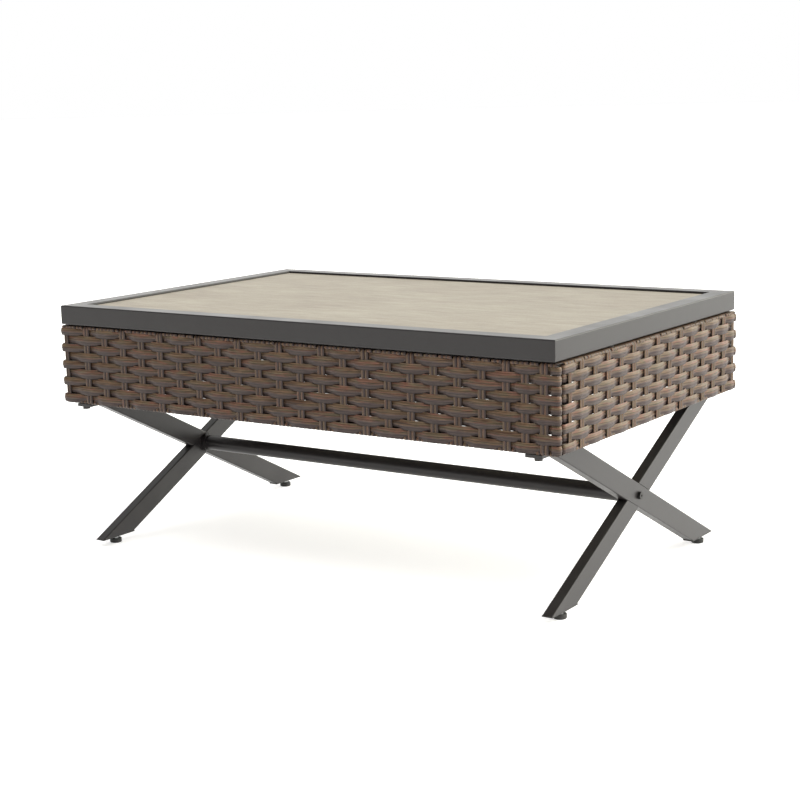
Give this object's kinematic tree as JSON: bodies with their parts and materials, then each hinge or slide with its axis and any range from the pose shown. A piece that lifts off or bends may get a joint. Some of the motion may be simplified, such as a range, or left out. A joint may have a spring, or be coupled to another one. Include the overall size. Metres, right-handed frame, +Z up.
{
  "type": "wicker coffee table",
  "caption": "Low rectangular garden table: a framed stone-look top on a woven resin skirt, carried by crossed metal legs that a round stretcher joins.",
  "frame": {"origin": "on the floor, under the middle of the table", "axes": "+X along the long side to the right, -Y the front, +Z up"},
  "size_m": [1.018, 0.664, 0.45],
  "materials": {
    "dark_powder_coat": "dark espresso powder coat on steel tube, semi-gloss with a very fine orange peel",
    "stone_tile": "beige satin ceramic tile with fine streaks along its length, opaque",
    "resin_wicker": "mixed brown and grey resin wicker with fine lengthwise grooves, low sheen",
    "black_rubber": "matt black rubber",
    "black_nylon": "black moulded nylon, fine texture",
    "brass": "machined brass",
    "black_steel": "black oxide steel screw, slight oil sheen",
    "zinc_steel": "bright zinc plate"
  },
  "bodies": {
    "table": {"top_rail_front": "dark_powder_coat", "top_rail_back": "dark_powder_coat", "top_rail_left": "dark_powder_coat", "top_rail_right": "dark_powder_coat", "tile_panel": "stone_tile", "tile_support_left": "dark_powder_coat", "tile_support_right": "dark_powder_coat", "tile_pads": "black_rubber", "top_spacers": "black_rubber", "top_bolts": "zinc_steel", "skirt_top_rail_front": "dark_powder_coat", "skirt_top_rail_back": "dark_powder_coat", "skirt_top_rail_left": "dark_powder_coat", "skirt_top_rail_right": "dark_powder_coat", "skirt_bottom_rail_front": "dark_powder_coat", "skirt_bottom_rail_back": "dark_powder_coat", "skirt_bottom_rail_left": "dark_powder_coat", "skirt_bottom_rail_right": "dark_powder_coat", "corner_posts_front_left": "dark_powder_coat", "corner_posts_front_right": "dark_powder_coat", "corner_posts_back_left": "dark_powder_coat", "corner_posts_back_right": "dark_powder_coat", "stakes_front": "resin_wicker", "stakes_back": "resin_wicker", "stakes_left": "resin_wicker", "stakes_right": "resin_wicker", "weave_front": "resin_wicker", "weave_back": "resin_wicker", "weave_left": "resin_wicker", "weave_right": "resin_wicker", "rail_wraps_front": "resin_wicker", "rail_wraps_back": "resin_wicker", "rail_wraps_left": "resin_wicker", "rail_wraps_right": "resin_wicker", "through_leg_left": "dark_powder_coat", "through_leg_right": "dark_powder_coat", "upper_half_leg_left": "dark_powder_coat", "upper_half_leg_right": "dark_powder_coat", "lower_half_leg_left": "dark_powder_coat", "lower_half_leg_right": "dark_powder_coat", "mounting_bar_left": "dark_powder_coat", "mounting_bar_right": "dark_powder_coat", "mounting_bolts": "black_steel", "mounting_spacers": "black_rubber", "hex_nuts": "zinc_steel", "stretcher_tube": "dark_powder_coat", "stretcher_collars": "dark_powder_coat", "stretcher_inserts": "zinc_steel", "stretcher_bolts": "black_steel", "foot_plugs": "black_nylon", "foot_inserts": "brass"},
    "glide_front_left": {"glide_pad_front_left": "black_nylon"},
    "screw_front_left": {"levelling_stem_front_left": "zinc_steel"},
    "glide_front_right": {"glide_pad_front_right": "black_nylon"},
    "screw_front_right": {"levelling_stem_front_right": "zinc_steel"},
    "glide_back_left": {"glide_pad_back_left": "black_nylon"},
    "screw_back_left": {"levelling_stem_back_left": "zinc_steel"},
    "glide_back_right": {"glide_pad_back_right": "black_nylon"},
    "screw_back_right": {"levelling_stem_back_right": "zinc_steel"}
  },
  "joints": [
    {"name": "level_front_left", "type": "slide", "parent": "table", "child": "glide_front_left", "axis": [0, 0, -1], "range_m": [0, 0.008]},
    {"name": "screw_turn_front_left", "type": "hinge", "parent": "glide_front_left", "child": "screw_front_left", "pos_m": [-0.4685, -0.2587, 0.015], "axis": [0, 0, -1], "range_deg": [0, 2305]},
    {"name": "level_front_right", "type": "slide", "parent": "table", "child": "glide_front_right", "axis": [0, 0, -1], "range_m": [0, 0.008]},
    {"name": "screw_turn_front_right", "type": "hinge", "parent": "glide_front_right", "child": "screw_front_right", "pos_m": [0.4685, -0.2587, 0.015], "axis": [0, 0, -1], "range_deg": [0, 2305]},
    {"name": "level_back_left", "type": "slide", "parent": "table", "child": "glide_back_left", "axis": [0, 0, -1], "range_m": [0, 0.008]},
    {"name": "screw_turn_back_left", "type": "hinge", "parent": "glide_back_left", "child": "screw_back_left", "pos_m": [-0.4685, 0.2587, 0.015], "axis": [0, 0, -1], "range_deg": [0, 2305]},
    {"name": "level_back_right", "type": "slide", "parent": "table", "child": "glide_back_right", "axis": [0, 0, -1], "range_m": [0, 0.008]},
    {"name": "screw_turn_back_right", "type": "hinge", "parent": "glide_back_right", "child": "screw_back_right", "pos_m": [0.4685, 0.2587, 0.015], "axis": [0, 0, -1], "range_deg": [0, 2305]}
  ],
  "couplings": [
    {"joint": "screw_turn_front_left", "follows": "level_front_left", "rad_per_m": 5026.5},
    {"joint": "screw_turn_front_right", "follows": "level_front_right", "rad_per_m": 5026.5},
    {"joint": "screw_turn_back_left", "follows": "level_back_left", "rad_per_m": 5026.5},
    {"joint": "screw_turn_back_right", "follows": "level_back_right", "rad_per_m": 5026.5}
  ]
}
